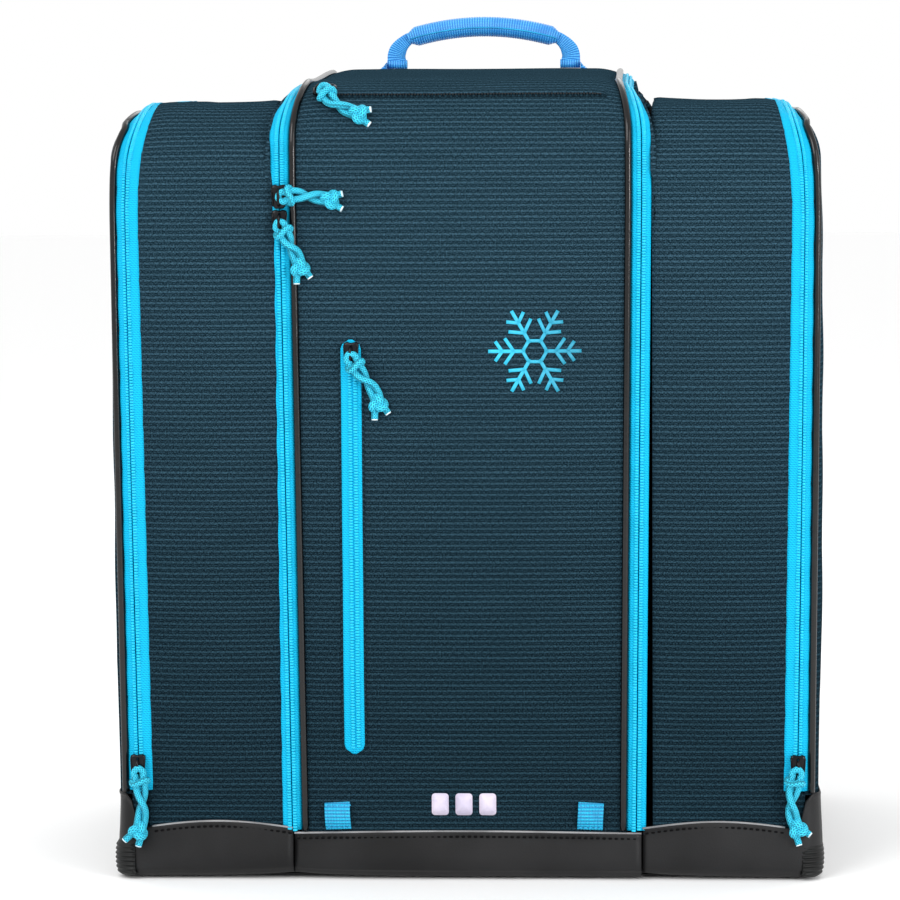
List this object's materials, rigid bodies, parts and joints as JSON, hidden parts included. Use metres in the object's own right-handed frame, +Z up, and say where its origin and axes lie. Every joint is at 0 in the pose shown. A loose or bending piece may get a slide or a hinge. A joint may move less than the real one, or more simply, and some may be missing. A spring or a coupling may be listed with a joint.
{
  "type": "ski boot bag",
  "caption": "Backpack-style ski boot bag with a boot compartment on each side of a taller zipped middle compartment, a haul handle and shoulder straps.",
  "frame": {"origin": "middle of the flat bottom, centred on the bag's width and depth", "axes": "+Z up, -Y towards the front panel, +X to the right seen from the front"},
  "size_m": [0.427, 0.326, 0.5135],
  "materials": {
    "shell_fabric": "dark petrol ripstop with fine horizontal stripes",
    "coated_fabric": "dark grey coated cloth, slightly sheeny",
    "back_fabric": "black plain weave",
    "air_mesh": "black spacer mesh over foam",
    "binding": "light grey binding",
    "board": "black stiffener board",
    "guard_rubber": "ribbed black rubber",
    "zip_tape": "turquoise coil zip and tape",
    "piping": "glossy black piping",
    "blue_webbing": "blue ribbed webbing",
    "black_webbing": "black webbing",
    "buckle_plastic": "black moulded acetal",
    "turquoise_print": "turquoise print",
    "pale_print": "pale lilac print",
    "turquoise_webbing": "turquoise ribbed webbing",
    "slider_metal": "black enamelled slider",
    "pull_cord": "turquoise braided cord"
  },
  "bodies": {
    "shell": {"back_panel": "back_fabric", "back_pad_left": "air_mesh", "back_pad_right": "air_mesh", "lumbar_pad": "air_mesh", "divider_left": "shell_fabric", "divider_right": "shell_fabric", "boot_front_left": "shell_fabric", "boot_front_right": "shell_fabric", "boot_top_left": "shell_fabric", "boot_top_right": "shell_fabric", "rear_top_panel": "shell_fabric", "base_center": "coated_fabric", "base_left": "coated_fabric", "base_right": "coated_fabric", "base_binding": "binding", "bottom_panel": "coated_fabric", "bottom_board": "board", "corner_guard_left": "guard_rubber", "corner_guard_right": "guard_rubber", "center_zip_frame": "zip_tape", "outer_zip_frame_left": "zip_tape", "outer_zip_frame_right": "zip_tape", "handle_anchors": "blue_webbing", "strap_anchors": "black_webbing"},
    "front_flap": {"front_panel": "shell_fabric", "top_panel": "shell_fabric", "center_zip_panel": "zip_tape", "panel_piping": "piping", "pocket_zip": "zip_tape", "goggle_zip": "shell_fabric", "emblem": "turquoise_print", "badge_bars": "pale_print", "webbing_loops": "turquoise_webbing"},
    "left_flap": {"side_panel_left": "shell_fabric", "outer_zip_side_left": "zip_tape", "side_piping_left": "piping"},
    "right_flap": {"side_panel_right": "shell_fabric", "outer_zip_side_right": "zip_tape", "side_piping_right": "piping"},
    "haul_handle": {"haul_grip": "blue_webbing", "haul_webbing": "blue_webbing"},
    "left_strap": {"shoulder_pad_left": "air_mesh", "strap_webbing_left": "black_webbing", "ladder_lock_left": "buckle_plastic"},
    "right_strap": {"shoulder_pad_right": "air_mesh", "strap_webbing_right": "black_webbing", "ladder_lock_right": "buckle_plastic"},
    "upper_slider": {"center_slider_upper": "slider_metal", "center_pull_upper": "pull_cord"},
    "lower_slider": {"center_slider_lower": "slider_metal", "center_pull_lower": "pull_cord"},
    "left_slider": {"outer_slider_left": "slider_metal", "outer_pull_left": "pull_cord"},
    "right_slider": {"outer_slider_right": "slider_metal", "outer_pull_right": "pull_cord"},
    "pocket_zip_slider": {"pocket_slider": "slider_metal", "pocket_pull": "pull_cord"},
    "goggle_zip_slider": {"goggle_slider": "slider_metal", "goggle_pull": "pull_cord"}
  },
  "joints": [
    {"name": "front_flap_hinge", "type": "hinge", "parent": "shell", "child": "front_flap", "pos_m": [0, -0.155, 0.033], "axis": [1, 0, 0], "range_deg": [0, 90]},
    {"name": "left_flap_hinge", "type": "hinge", "parent": "shell", "child": "left_flap", "pos_m": [-0.211, 0, 0.05], "axis": [0, -1, 0], "range_deg": [0, 95]},
    {"name": "right_flap_hinge", "type": "hinge", "parent": "shell", "child": "right_flap", "pos_m": [0.211, 0, 0.05], "axis": [0, 1, 0], "range_deg": [0, 95]},
    {"name": "haul_handle_swing", "type": "hinge", "parent": "shell", "child": "haul_handle", "pos_m": [0, 0.108, 0.484], "axis": [1, 0, 0], "range_deg": [-65, 65]},
    {"name": "left_strap_swing", "type": "hinge", "parent": "shell", "child": "left_strap", "pos_m": [-0.045, 0.133, 0.44], "axis": [-0.2425, 0, -0.9701], "range_deg": [-12, 12]},
    {"name": "right_strap_swing", "type": "hinge", "parent": "shell", "child": "right_strap", "pos_m": [0.045, 0.133, 0.44], "axis": [0.2425, 0, -0.9701], "range_deg": [-12, 12]},
    {"name": "upper_slider_travel", "type": "slide", "parent": "front_flap", "child": "upper_slider", "axis": [-0.01, 0, 0.9999], "range_m": [0, 0.025]},
    {"name": "lower_slider_travel", "type": "slide", "parent": "front_flap", "child": "lower_slider", "axis": [0.01, 0, -0.9999], "range_m": [0, 0.305]},
    {"name": "left_slider_travel", "type": "slide", "parent": "left_flap", "child": "left_slider", "axis": [-0.0125, 0, 0.9999], "range_m": [0, 0.33]},
    {"name": "right_slider_travel", "type": "slide", "parent": "right_flap", "child": "right_slider", "axis": [0.0125, 0, 0.9999], "range_m": [0, 0.33]},
    {"name": "pocket_slider_travel", "type": "slide", "parent": "front_flap", "child": "pocket_zip_slider", "axis": [0, 0, -1], "range_m": [0, 0.225]},
    {"name": "goggle_slider_travel", "type": "slide", "parent": "front_flap", "child": "goggle_zip_slider", "axis": [1, 0, 0], "range_m": [0, 0.155]}
  ]
}
